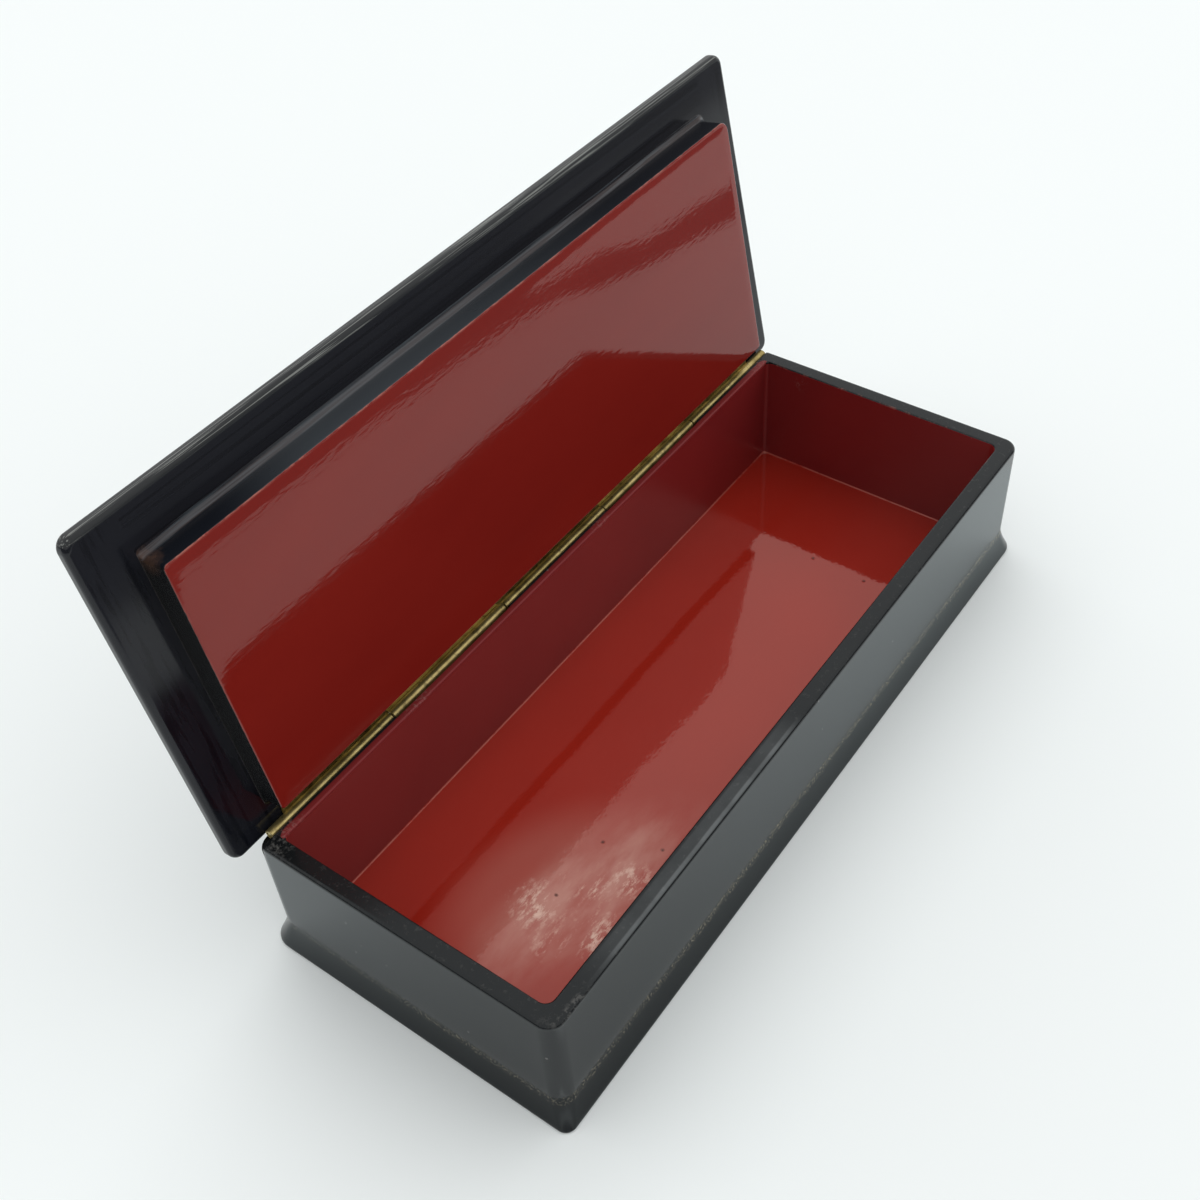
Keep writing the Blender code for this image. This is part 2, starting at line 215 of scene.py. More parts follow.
# specks: scattered dots, a share of the cells of a cell pattern
specks, given, result = newGroup("specks", {
    "Vector": None, "Scale": 400.0, "Share": 0.2, "Size": 0.2, "Sharpness": 12.0,
}, ["Mask"])
cells = addNode(specks, "ShaderNodeTexVoronoi", {"Vector": given["Vector"], "Scale": given["Scale"]})
cellPick = addNode(specks, "ShaderNodeSeparateColor", {0: cells.outputs["Color"]}).outputs
chosen = calc(specks, "LESS_THAN", cellPick[0], given["Share"])
reach = calc(specks, "MULTIPLY", given["Size"], cellPick[1])
edge = calc(specks, "SUBTRACT", reach, cells.outputs["Distance"])
dot = calc(specks, "MULTIPLY", edge, given["Sharpness"], clamp=True)
specks.links.new(allOf(specks, dot, chosen), result["Mask"])

# scuffs: ragged patches where the lacquer is rubbed
scuffs, given, result = newGroup("scuffs", {
    "Vector": None, "Scale": 300.0, "Cover": 0.4, "Sharpness": 9.0,
}, ["Mask"])
rubbed = noise(scuffs, given["Vector"], given["Scale"], detail=6.0, Roughness=0.7)
over = calc(scuffs, "SUBTRACT", rubbed, opposite(scuffs, given["Cover"]))
scuffs.links.new(calc(scuffs, "MULTIPLY", over, given["Sharpness"], clamp=True), result["Mask"])

# crinkles: thin wandering lines
crinkles, given, result = newGroup("crinkles", {"Vector": None, "Scale": 150.0, "Width": 0.05}, ["Mask"])
folds = noise(crinkles, given["Vector"], given["Scale"], detail=4.0, Distortion=1.2)
offFold = calc(crinkles, "ABSOLUTE", calc(crinkles, "SUBTRACT", folds, 0.5))
line = calc(crinkles, "SUBTRACT", 1.0, calc(crinkles, "DIVIDE", offFold, given["Width"]), clamp=True)
crinkles.links.new(line, result["Mask"])

# spot: one ragged blot about a place, full in its middle
spot, given, result = newGroup("spot", {
    "Vector": None, "Place": None, "Radius": 1 * mm, "Ragged": 900.0, "Full": 1.9, "Fade": 1.2,
}, ["Mask"])
away = vectorCalc(spot, "DISTANCE", given["Vector"], given["Place"])["Value"]
away = calc(spot, "DIVIDE", away, given["Radius"])
away = calc(spot, "ADD", away, noise(spot, given["Vector"], given["Ragged"], detail=2.0))
blot = calc(spot, "SUBTRACT", given["Full"], calc(spot, "MULTIPLY", away, given["Fade"]), clamp=True)
spot.links.new(blot, result["Mask"])

# rounded outline: how far out of a rounded rectangle a point is
roundedOutline, given, result = newGroup("roundedOutline", {
    "Vector": None, "Middle": None, "Core": None, "Corner": 2 * mm,
}, ["Reach"])
off = vectorCalc(roundedOutline, "SUBTRACT", given["Vector"], given["Middle"])[0]
flat = vectorCalc(roundedOutline, "MULTIPLY", off, (1, 1, 0))[0]
folded = vectorCalc(roundedOutline, "ABSOLUTE", flat)[0]
past = vectorCalc(roundedOutline, "SUBTRACT", folded, given["Core"])[0]
outside = vectorCalc(roundedOutline, "LENGTH", vectorCalc(roundedOutline, "MAXIMUM", past)[0])["Value"]
pastX, pastY = axes(roundedOutline, past)[:2]
within = calc(roundedOutline, "MINIMUM", calc(roundedOutline, "MAXIMUM", pastX, pastY), 0.0)
reach = calc(roundedOutline, "SUBTRACT", calc(roundedOutline, "ADD", outside, within), given["Corner"])
roundedOutline.links.new(reach, result["Reach"])


def scuffed(tree, vector, scale, cover):
    return useGroup(tree, scuffs, Vector=vector, Scale=scale, Cover=cover)["Mask"]


def spotted(tree, vector, middle, spots):
    # blots about a middle, each given by its place and radius in mm
    masks = []
    for *place, radius in spots:
        made = useGroup(tree, spot, Vector=vector, Place=middle + Vector(place) * mm, Radius=radius * mm)
        masks.append(made["Mask"])
    return anyOf(tree, *masks)


def outlineReach(tree, vector, middle, half, corner):
    # distance out of a rounded rectangle: below zero inside it
    return useGroup(tree, roundedOutline, Vector=vector, Middle=(middle.x, middle.y, 0),
                    Core=(half.x - corner, half.y - corner, 0), Corner=corner)["Reach"]


def objectCoordinates(tree):
    return addNode(tree, "ShaderNodeTexCoord").outputs["Object"]


def lidCoordinates(tree):
    # the lid's own closed-lid coordinates, from the open piece's
    turn = Matrix.Rotation(openAngle, 3, "X")
    inputs = {"Vector": objectCoordinates(tree), "Location": -(turn @ hingePoint),
              "Rotation": (openAngle, 0, 0)}
    return addNode(tree, "ShaderNodeMapping", inputs).outputs[0]


def newMaterial(name, constants):
    material = bpy.data.materials.new(name)
    material.use_nodes = True
    tree = material.node_tree
    shader = tree.nodes["Principled BSDF"]
    for socket, value in constants.items():
        shader.inputs[socket].default_value = value
    return material, tree, shader


def dress(tree, shader, colour, rough, height, wave):
    bump = addNode(tree, "ShaderNodeBump", {"Height": height, "Distance": wave})
    tree.links.new(colour, shader.inputs["Base Color"])
    tree.links.new(rough, shader.inputs["Roughness"])
    tree.links.new(bump.outputs["Normal"], shader.inputs["Normal"])


# colours that several lacquers share
coolGloss = (0.93, 0.985, 1.0, 1)
blackTint = (0.0056, 0.0064, 0.0070, 1)
blackGrey = (0.0106, 0.0118, 0.0126, 1)
paleRed = (0.46, 0.17, 0.13, 1)

# walls: black outside, red inside, rubbed along the rim and the hinge side, with a painted highlight on the
# front rim
wallPaint = {
    "wave": 6e-6, "skin": {"Broad": 40.0, "Fine": 1300.0, "FineShare": 0.07}, "wander": (160.0, 3.0),
    "glossSides": 0.72, "glossRim": 0.32, "rough": 0.20, "roughRed": 0.22, "roughWorn": 0.5,
    "redTint": (0.255, 0.0210, 0.0215, 1), "redDeep": (0.195, 0.0150, 0.0165, 1),
    "redOver": 0.40 * mm, "redOverHinge": 1.7 * mm, "redWander": 0.12 * mm, "redFade": 0.12 * mm,
    "hingeFront": 0.1 * mm, "hingeEnds": 0.2 * mm, "rimTop": (-1.0 * mm, -0.2 * mm),
    # the grey and ridge entries paint a highlight on the front rim
    "highlightGrey": ((0.135, 0.146, 0.149, 1), 0.80), "greyAcross": (0.6 * mm, 1.1 * mm), "greyShare": 0.30,
    "ridgeAcross": (3.0 * mm, 3.4 * mm), "ridgeTop": (-0.32 * mm, -0.08 * mm),
    "ridgeStarts": (-90 * mm, -72 * mm), "ridgeEnds": (-20 * mm, -8 * mm),
    "ridgeBreaks": (0.25, 0.65), "ridgeThin": 0.6,
    "rubPale": (0.30, 0.29, 0.27, 1), "rubShare": 0.55, "rimRub": (700.0, 0.43), "rimRubShare": 0.13,
    "cornerRub": (850.0, 0.50), "hingeCorner": [(-98, 34, 0, 4.5)], "hingeCornerShare": 0.5,
    "nearCorner": [(-93.5, -38.5, 0, 7)], "nearCornerShare": 0.4,
    "outerAcross": (2.6 * mm, 3.4 * mm), "outerTop": (-0.9 * mm, -0.4 * mm),
    "chips": [(-94, 0, 0, 6), (-52, 0, 0, 5), (18, 0, 0, 4), (92.5, 0, 0, 5)],
    "chipTop": (-0.9 * mm, -0.3 * mm), "chipRub": (1400.0, 0.50), "chipShare": 0.7,
    "chipPink": (0.30, 0.135, 0.120, 1),
    "innerAcross": (-0.05 * mm, 0.1 * mm), "innerTo": 0.45 * mm, "innerAlong": (80 * mm, 95 * mm),
    "innerRub": (300.0, 0.50), "innerShare": 0.3,
    "scratched": [(95.6, 23.0, 32.3, 2.6)], "scratchShare": 0.6,
    "scratches": {"Scale": 500.0, "Width": 0.03},
    "dust": {"Scale": 330.0, "Share": 0.12, "Size": 0.16}, "dustShare": 0.5,
}
wallLacquer, tree, shader = newMaterial("wallLacquer", {"Specular Tint": coolGloss})
place = objectCoordinates(tree)
x, y, z = axes(tree, place)
fromRim = calc(tree, "SUBTRACT", z, rimZ)
rimTop = between(tree, fromRim, *wallPaint["rimTop"])
skin = useGroup(tree, lacquerSkin, Vector=place, **wallPaint["skin"])
wander = noise(tree, place, *wallPaint["wander"])
out = outlineReach(tree, place, insideMiddle, insideHalf, wallRing["innerCorner"])
out = calc(tree, "MULTIPLY_ADD", calc(tree, "SUBTRACT", wander, 0.5), wallPaint["redWander"], out)
# the red runs a little over the inner edge of the rim, and further at the hinge
hingeSide = allOf(tree, calc(tree, "GREATER_THAN", y, insideHigh.y - wallPaint["hingeFront"]),
                  calc(tree, "LESS_THAN", calc(tree, "ABSOLUTE", x), insideHalf.x + wallPaint["hingeEnds"]))
rise = calc(tree, "MAXIMUM", calc(tree, "ADD", fromRim, wallRing["innerRim"]), -wallRing["innerRim"])
redTo = calc(tree, "MULTIPLY_ADD", hingeSide, wallPaint["redOverHinge"], wallPaint["redOver"])
red = calc(tree, "SUBTRACT", redTo, calc(tree, "ADD", out, rise))
red = calc(tree, "DIVIDE", red, wallPaint["redFade"], clamp=True)
black = opposite(tree, red)
blackColour = blendColour(tree, skin["Cloud"], blackTint, blackGrey)
redColour = blendColour(tree, skin["Cloud"], wallPaint["redDeep"], wallPaint["redTint"])
colour = blendColour(tree, red, blackColour, redColour)
# painted highlight: the rim is greyer over the near half of the front, most in a ridge near its outer edge
rimSheen = allOf(tree, between(tree, out, *wallPaint["greyAcross"]), wallPaint["greyShare"])
ridgeHighlight = blendValue(tree, between(tree, out, *wallPaint["ridgeAcross"]), rimSheen, 1.0)
uneven = blendValue(tree, between(tree, wander, *wallPaint["ridgeBreaks"]), wallPaint["ridgeThin"], 1.0)
ridgeHighlight = allOf(tree, ridgeHighlight, between(tree, fromRim, *wallPaint["ridgeTop"]), uneven, black,
              span(tree, x, wallPaint["ridgeStarts"], wallPaint["ridgeEnds"]),
              calc(tree, "LESS_THAN", y, insideLow.y))
colour = paintOver(tree, colour, ridgeHighlight, *wallPaint["highlightGrey"])
# pale rubbing on the rim, most at the hinge corner and on the near corner's outer edge
onRim = Vector((0, 0, rimZ))
outerEdge = allOf(tree, between(tree, out, *wallPaint["outerAcross"]),
                  between(tree, fromRim, *wallPaint["outerTop"]))
rimRub = scuffed(tree, place, *wallPaint["rimRub"])
cornerRub = scuffed(tree, place, *wallPaint["cornerRub"])
hingeCorner = spotted(tree, place, onRim, wallPaint["hingeCorner"])
nearCorner = spotted(tree, place, onRim, wallPaint["nearCorner"])
rub = anyOf(tree, allOf(tree, rimRub, rimTop, wallPaint["rimRubShare"]),
            allOf(tree, cornerRub, hingeCorner, rimTop, wallPaint["hingeCornerShare"]),
            allOf(tree, cornerRub, nearCorner, outerEdge, wallPaint["nearCornerShare"]))
rub = allOf(tree, rub, black)
colour = paintOver(tree, colour, rub, wallPaint["rubPale"], wallPaint["rubShare"])
# pinkish chips along the top of the back wall, where the hinge rubs
hingeTop = allOf(tree, hingeSide, between(tree, fromRim, *wallPaint["chipTop"]))
chips = allOf(tree, spotted(tree, place, Vector((0, insideHigh.y, rimZ)), wallPaint["chips"]),
              scuffed(tree, place, *wallPaint["chipRub"]), hingeTop, wallPaint["chipShare"])
colour = blendColour(tree, chips, colour, wallPaint["chipPink"])
# lacquer worn to red along the inner edge of the right rim, and a few scratches on the wall under it
innerEdge = allOf(tree, between(tree, out, *wallPaint["innerAcross"]),
                  calc(tree, "LESS_THAN", out, wallPaint["innerTo"]), rimTop,
                  between(tree, x, *wallPaint["innerAlong"]), scuffed(tree, place, *wallPaint["innerRub"]))
colour = paintOver(tree, colour, innerEdge, paleRed, wallPaint["innerShare"])
scratches = allOf(tree, spotted(tree, place, origin, wallPaint["scratched"]),
                  useGroup(tree, crinkles, Vector=place, **wallPaint["scratches"])["Mask"])
colour = paintOver(tree, colour, scratches, wallPaint["chipPink"], wallPaint["scratchShare"])
dust = useGroup(tree, specks, Vector=place, **wallPaint["dust"])["Mask"]
colour = paintOver(tree, colour, dust, wallPaint["rubPale"], wallPaint["dustShare"])
gloss = blendValue(tree, rimTop, wallPaint["glossSides"], wallPaint["glossRim"])
tree.links.new(gloss, shader.inputs["Specular IOR Level"])
rough = blendValue(tree, red, wallPaint["rough"], wallPaint["roughRed"])
rough = blendValue(tree, anyOf(tree, rub, chips, innerEdge, hingeTop), rough, wallPaint["roughWorn"])
dress(tree, shader, colour, rough, skin["Height"], wallPaint["wave"])

# floor: a brighter red, with a painted sheen and painted glints over crinkled patches at the near end, and
# marked
floorPaint = {
    "wave": 9e-6, "skin": {"Broad": 32.0, "BroadShare": 18.0, "Fine": 750.0, "FineShare": 1.0},
    "gloss": 1.0, "glossTint": (1.0, 0.62, 0.55, 1), "rough": 0.045, "roughWorn": 0.45,
    "tint": (0.375, 0.0225, 0.0120, 1), "deep": (0.310, 0.0175, 0.0098, 1), "sheenPale": (0.88, 0.66, 0.54, 1),
    # veil, cloud and smears paint a sheen and glints at the near end
    "veil": ((-60 * mm, -3 * mm, 0), (32 * mm, 19 * mm, 1), (0.45, 1.1)), "veilShare": 0.09,
    "cloud": ((-56 * mm, -12 * mm, 0), (36 * mm, 14 * mm, 1), (0.1, 1.15)), "cloudShare": 0.40,
    "cloudTurn": math.radians(-12), "mottle": (190.0, 4.0), "mottled": (0.2, 0.75),
    "glintSmears": [(-64, -5.5, 0, 7), (-54, -11, 0, 6.5), (-63.5, -19.5, 0, 7), (-47.5, -18.5, 0, 5.5),
               (-70, -14, 0, 5)],
    "streakAlong": ((0.40, 1.0, 1.0), math.radians(10)), "streaked": (620.0, 0.53), "broken": (150.0, 0.58),
    "glintShare": 0.80, "smearLift": 1.6,
    "crease": (-0.40 * mm, -0.15 * mm), "creaseBreaks": (120.0, 0.62), "creaseShare": 0.35,
    "pits": [(64.5, -0.5, 0, 0.55), (64.1, -16.2, 0, 0.55), (-42.4, -7.1, 0, 0.55), (-36.6, -19.8, 0, 0.55),
             (-59.8, -6.7, 0, 0.55)],
    "pitDark": ((0.035, 0.006, 0.005, 1), 0.85), "pitLift": -2.0,
}
floorLacquer, tree, shader = newMaterial("floorLacquer", {
    "Specular IOR Level": floorPaint["gloss"], "Specular Tint": floorPaint["glossTint"]})
place = objectCoordinates(tree)
onFloor = Vector((0, 0, floorHigh.z))
skin = useGroup(tree, lacquerSkin, Vector=place, **floorPaint["skin"])
colour = blendColour(tree, skin["Cloud"], floorPaint["deep"], floorPaint["tint"])
# painted sheen at the near end: a thin veil and a mottled cloud, and painted glints on crinkled patches of
# lacquer, streaked along
sheenVeil, sheenCloud = (oval(tree, place, *floorPaint[name], floorPaint["cloudTurn"])
                   for name in ("veil", "cloud"))
streakAlong = stretched(tree, place, *floorPaint["streakAlong"])
mottle = noise(tree, streakAlong, *floorPaint["mottle"])
sheenCloud = allOf(tree, sheenCloud, between(tree, mottle, *floorPaint["mottled"]))
glintSmear = allOf(tree, spotted(tree, place, onFloor, floorPaint["glintSmears"]),
              scuffed(tree, streakAlong, *floorPaint["streaked"]), scuffed(tree, streakAlong, *floorPaint["broken"]))
for mask, share in ((sheenVeil, "veilShare"), (sheenCloud, "cloudShare"), (glintSmear, "glintShare")):
    colour = paintOver(tree, colour, mask, floorPaint["sheenPale"], floorPaint[share])
# a paler red in the crease round its edge, and pitted
edgeIn = outlineReach(tree, place, insideMiddle, insideHalf, wallRing["innerCorner"])
crease = allOf(tree, between(tree, edgeIn, *floorPaint["crease"]),
               scuffed(tree, place, *floorPaint["creaseBreaks"]), floorPaint["creaseShare"])
colour = blendColour(tree, crease, colour, paleRed)
pits = spotted(tree, place, onFloor, floorPaint["pits"])
colour = paintOver(tree, colour, pits, *floorPaint["pitDark"])
rough = blendValue(tree, anyOf(tree, crease, pits), floorPaint["rough"], floorPaint["roughWorn"])
height = calc(tree, "MULTIPLY_ADD", pits, floorPaint["pitLift"], skin["Height"])
height = calc(tree, "MULTIPLY_ADD", glintSmear, floorPaint["smearLift"], height)
dress(tree, shader, colour, rough, height, floorPaint["wave"])

# base: the walls' black, with board showing in a broken line along its cove
mouldPaint = {
    "wave": 5e-6, "skin": {"Broad": 45.0, "Fine": 1300.0, "FineShare": 0.07},
    "rough": 0.20, "roughWorn": 0.5, "bareBoard": (0.29, 0.26, 0.18, 1),
    "wornLine": 7.0 * mm, "wornHalf": 1.9 * mm, "wornRub": (1900.0, 0.50),
    "patches": (120.0, 0.62), "patchShare": 0.60, "backFades": (-20 * mm, 30 * mm), "backShare": 0.4,
    "farShows": (-85 * mm, -35 * mm), "frontEnds": (-36 * mm, -20 * mm), "nearShare": 0.60,
}
mouldLacquer, tree, shader = newMaterial("mouldLacquer", {
    "Specular IOR Level": wallPaint["glossSides"], "Specular Tint": coolGloss})
place = objectCoordinates(tree)
x, y, z = axes(tree, place)
skin = useGroup(tree, lacquerSkin, Vector=place, **mouldPaint["skin"])
colour = blendColour(tree, skin["Cloud"], blackTint, blackGrey)
# the line thins in patches and towards the back, and shows most along the far front
offLine = calc(tree, "ABSOLUTE", calc(tree, "SUBTRACT", z, mouldPaint["wornLine"]))
patchy = blendValue(tree, scuffed(tree, place, *mouldPaint["patches"]), mouldPaint["patchShare"], 1.0)
toBack = blendValue(tree, between(tree, y, *mouldPaint["backFades"]), 1.0, mouldPaint["backShare"])
worn = allOf(tree, opposite(tree, between(tree, offLine, 0.0, mouldPaint["wornHalf"])),
             scuffed(tree, place, *mouldPaint["wornRub"]), patchy, toBack)
farFront = allOf(tree, between(tree, x, *mouldPaint["farShows"]),
                 opposite(tree, between(tree, y, *mouldPaint["frontEnds"])))
shows = allOf(tree, worn, blendValue(tree, farFront, mouldPaint["nearShare"], 1.0))
colour = blendColour(tree, shows, colour, mouldPaint["bareBoard"])
rough = blendValue(tree, worn, mouldPaint["rough"], mouldPaint["roughWorn"])
dress(tree, shader, colour, rough, skin["Height"], mouldPaint["wave"])

# lid: a bluer black, brushed along each border of its underside
lidPaint = {
    "wave": 5e-6, "skin": {"Broad": 40.0, "Fine": 420.0, "FineShare": 0.06},
    "gloss": 0.32, "rough": 0.12, "roughEdge": 0.38,
    "tint": (0.0085, 0.0092, 0.0130, 1), "grey": (0.0122, 0.0132, 0.0178, 1),
    "brushDark": (0.0050, 0.0056, 0.0084, 1), "brush": (800.0, 3.0), "brushMarks": (0.50, 0.66),
    "brushLift": 0.35, "alongX": (0.008, 1.0, 1.0), "alongY": (1.0, 0.08, 1.0),
    "endBorder": 11 * mm, "borderFade": 1 * mm, "underside": 1.5 * mm, "edgeFades": (1.05 * mm, 1.5 * mm),
    "edgeGrey": ((0.018, 0.020, 0.021, 1), 0.7), "edgeLine": ((0.230, 0.240, 0.225, 1), 0.75),
    "lines": (3800.0, 2.0), "lineMarks": (0.56, 0.62),
}
lidLacquer, tree, shader = newMaterial("lidLacquer", {"Specular IOR Level": lidPaint["gloss"]})
place = lidCoordinates(tree)
x, y, z = axes(tree, place)
skin = useGroup(tree, lacquerSkin, Vector=place, **lidPaint["skin"])
colour = blendColour(tree, skin["Cloud"], lidPaint["tint"], lidPaint["grey"])
alongX, alongY = (stretched(tree, place, lidPaint[name]) for name in ("alongX", "alongY"))
strokesX, strokesY = (noise(tree, along, *lidPaint["brush"]) for along in (alongX, alongY))
endsFrom = lidHigh.x - lidPaint["endBorder"]
atEnds = between(tree, calc(tree, "ABSOLUTE", x), endsFrom - lidPaint["borderFade"], endsFrom)
underside = calc(tree, "LESS_THAN", z, lidLow.z + lidPaint["underside"])
strokes = allOf(tree, blendValue(tree, atEnds, strokesX, strokesY), underside)
colour = blendColour(tree, between(tree, strokes, *lidPaint["brushMarks"]), colour, lidPaint["brushDark"])
# the front edge is rubbed grey, in fine lines
frontEdge = opposite(tree, between(tree, calc(tree, "SUBTRACT", y, lidLow.y), *lidPaint["edgeFades"]))
colour = paintOver(tree, colour, frontEdge, *lidPaint["edgeGrey"])
lines = between(tree, noise(tree, alongX, *lidPaint["lines"]), *lidPaint["lineMarks"])
colour = paintOver(tree, colour, allOf(tree, lines, frontEdge), *lidPaint["edgeLine"])
rough = blendValue(tree, frontEdge, lidPaint["rough"], lidPaint["roughEdge"])
height = calc(tree, "MULTIPLY_ADD", strokes, lidPaint["brushLift"], skin["Height"])
dress(tree, shader, colour, rough, height, lidPaint["wave"])

# plug: black sides with painted light and shade on the front one, red face rubbed pale along its edge
plugPaint = {
    "wave": 6e-6, "skin": {"Broad": 60.0, "BroadShare": 4.0, "Fine": 1100.0, "FineShare": 1.5},
    "alongX": (0.30, 1.0, 1.0), "wander": (700.0, 3.0),
    "gloss": 0.52, "glossTint": (1.0, 0.81, 0.76, 1), "rough": 0.05, "roughSides": 0.22,
    "redTint": (0.235, 0.0165, 0.0110, 1), "redDeep": (0.185, 0.0110, 0.0080, 1),
    "redDepth": 0.17 * mm, "redWander": 0.30 * mm, "redFade": 0.08 * mm, "frontSide": 1.2 * mm,
    # painted light and shade on the front side, and a painted highlight in its cove
    "sideShade": (0.004, 0.006, 0.010, 1), "sideLitGrey": (0.042, 0.049, 0.056, 1),
    "sidePales": (-80 * mm, -50 * mm), "sideDarkens": (-30 * mm, 60 * mm),
    "coveHighlightGrey": ((0.066, 0.088, 0.102, 1), 0.6), "coveAlong": (0.03, 1.0, 1.0), "coveLines": (1900.0, 2.0),
    "lineMarks": (0.42, 0.64), "coveLit": (1.0, 0.4),
    "edgeRub": (150.0, 0.56), "edgeAcross": (-0.45 * mm, -0.1 * mm), "edgeShares": (0.12, 0.55),
    "chip": [(1.0, 0.8, 4.4, 3.4)], "chipBrown": ((0.090, 0.050, 0.034, 1), 0.6),
}
plugLacquer, tree, shader = newMaterial("plugLacquer", {
    "Specular IOR Level": plugPaint["gloss"], "Specular Tint": plugPaint["glossTint"]})
place = lidCoordinates(tree)
x, y, z = axes(tree, place)
skin = useGroup(tree, lacquerSkin, Vector=stretched(tree, place, plugPaint["alongX"]), **plugPaint["skin"])
edgeDepth = calc(tree, "MULTIPLY_ADD", noise(tree, place, *plugPaint["wander"]), plugPaint["redWander"],
                 plugLow.z + plugPaint["redDepth"])
edgeDepth = calc(tree, "MULTIPLY_ADD", calc(tree, "SUBTRACT", y, plugMiddle.y), plugLean, edgeDepth)
red = calc(tree, "DIVIDE", calc(tree, "SUBTRACT", edgeDepth, z), plugPaint["redFade"], clamp=True)
blackColour = blendColour(tree, skin["Cloud"], blackTint, blackGrey)
# painted light and shade: the front side is greyer than the ends, most left of its middle, and darker right
# of it, with fine pale lines of painted highlight in its cove
frontSide = calc(tree, "LESS_THAN", y, plugLow.y + plugPaint["frontSide"])
sideLight = span(tree, x, plugPaint["sidePales"], plugPaint["sideDarkens"])
sideLightColour = blendColour(tree, sideLight, plugPaint["sideShade"], plugPaint["sideLitGrey"])
blackColour = blendColour(tree, frontSide, blackColour, sideLightColour)
coveFrom, coveTo = (lidLow.z - share * lidPlug["cove"] for share in plugPaint["coveLit"])
lines = noise(tree, stretched(tree, place, plugPaint["coveAlong"]), *plugPaint["coveLines"])
coveHighlight = allOf(tree, frontSide, between(tree, z, coveFrom, coveTo),
               between(tree, lines, *plugPaint["lineMarks"]))
blackColour = paintOver(tree, blackColour, coveHighlight, *plugPaint["coveHighlightGrey"])
redColour = blendColour(tree, skin["Cloud"], plugPaint["redDeep"], plugPaint["redTint"])
colour = blendColour(tree, red, blackColour, redColour)
out = outlineReach(tree, place, plugMiddle, plugHalf, lidPlug["corner"])
edgeRub = allOf(tree, scuffed(tree, place, *plugPaint["edgeRub"]),
                between(tree, out, *plugPaint["edgeAcross"]), red,
                blendValue(tree, frontSide, *plugPaint["edgeShares"]))
colour = blendColour(tree, edgeRub, colour, paleRed)
colour = paintOver(tree, colour, spotted(tree, place, plugLow, plugPaint["chip"]), *plugPaint["chipBrown"])
rough = blendValue(tree, red, plugPaint["roughSides"], plugPaint["rough"])
dress(tree, shader, colour, rough, skin["Height"], plugPaint["wave"])

# brass: drawn along its length, tarnished in patches
brassTone = {
    "wave": 1.2e-5, "metallic": 0.85, "rough": (0.26, 0.48),
    "bright": (0.62, 0.50, 0.21, 1), "dull": (0.38, 0.295, 0.11, 1), "stain": ((0.11, 0.078, 0.034, 1), 0.6),
    "drawn": (0.06, 1.0, 1.0), "streaks": (2600.0, 3.0), "patches": (190.0, 4.0), "patchMarks": (0.35, 0.65),
    "stained": (520.0, 0.46),
}
agedBrass, tree, shader = newMaterial("agedBrass", {"Metallic": brassTone["metallic"]})
place = objectCoordinates(tree)
streaks = noise(tree, stretched(tree, place, brassTone["drawn"]), *brassTone["streaks"])
patches = between(tree, noise(tree, place, *brassTone["patches"]), *brassTone["patchMarks"])
colour = blendColour(tree, patches, brassTone["dull"], brassTone["bright"])
colour = paintOver(tree, colour, scuffed(tree, place, *brassTone["stained"]), *brassTone["stain"])
dress(tree, shader, colour, blendValue(tree, streaks, *brassTone["rough"]), streaks, brassTone["wave"])
print("materials done")


# modelling helpers
def boxShape(bm, low, high):
    low, high = Vector(low), Vector(high)
    place = Matrix.Translation((low + high) / 2) @ Matrix.Diagonal((*(high - low), 1.0))
    return bmesh.ops.create_cube(bm, size=1.0, matrix=place)["verts"]


def roundOver(bm, edges, radius, steps):
    bmesh.ops.bevel(bm, geom=edges, offset=radius, offset_type="OFFSET", affect="EDGES",
                    segments=steps, profile=0.5, material=-1)


def roundedSlab(bm, low, high, corner, steps):
    verts = boxShape(bm, low, high)
    upright = [e for e in {e for v in verts for e in v.link_edges}
               if abs(e.verts[0].co.z - e.verts[1].co.z) > (high.z - low.z) / 2]
    roundOver(bm, upright, corner, steps)


nearby = 1e-6  # points closer than this count as one place
clear = 3 * mm  # how far a cut reaches past what it cuts
fourCorners = [(sideX, sideY) for sideX in (-1, 1) for sideY in (-1, 1)]


def flatFaces(bm, z):
    return [f for f in bm.faces if all(abs(v.co.z - z) < nearby for v in f.verts)]


def flatEdges(bm, z):
    return [e for e in bm.edges if all(abs(v.co.z - z) < nearby for v in e.verts)]


def openUp(bm, z):
    # takes off the flat face at a height, and gives the loop that is left
    bmesh.ops.delete(bm, geom=flatFaces(bm, z), context="FACES_ONLY")
    return flatEdges(bm, z)


def closedLoop(bm, points):
    verts = [bm.verts.new(p) for p in points]
    return verts, [bm.edges.new(pair) for pair in zip(verts, verts[1:] + verts[:1])]


def shapeCorner(bm, verts, middle, side, size, move=(0, 0, 0)):
    # moves one corner of a rounded loop, and makes its round larger or smaller without leaving the sides
    sideX, sideY = side
    corner = [v for v in verts if (v.co.x - middle.x) * sideX > 0 and (v.co.y - middle.y) * sideY > 0]
    bmesh.ops.translate(bm, verts=corner, vec=move)
    tipX = max(v.co.x * sideX for v in corner) * sideX
    tipY = max(v.co.y * sideY for v in corner) * sideY
    bmesh.ops.scale(bm, verts=corner, vec=(size, size, 1.0), space=Matrix.Translation((-tipX, -tipY, 0)))


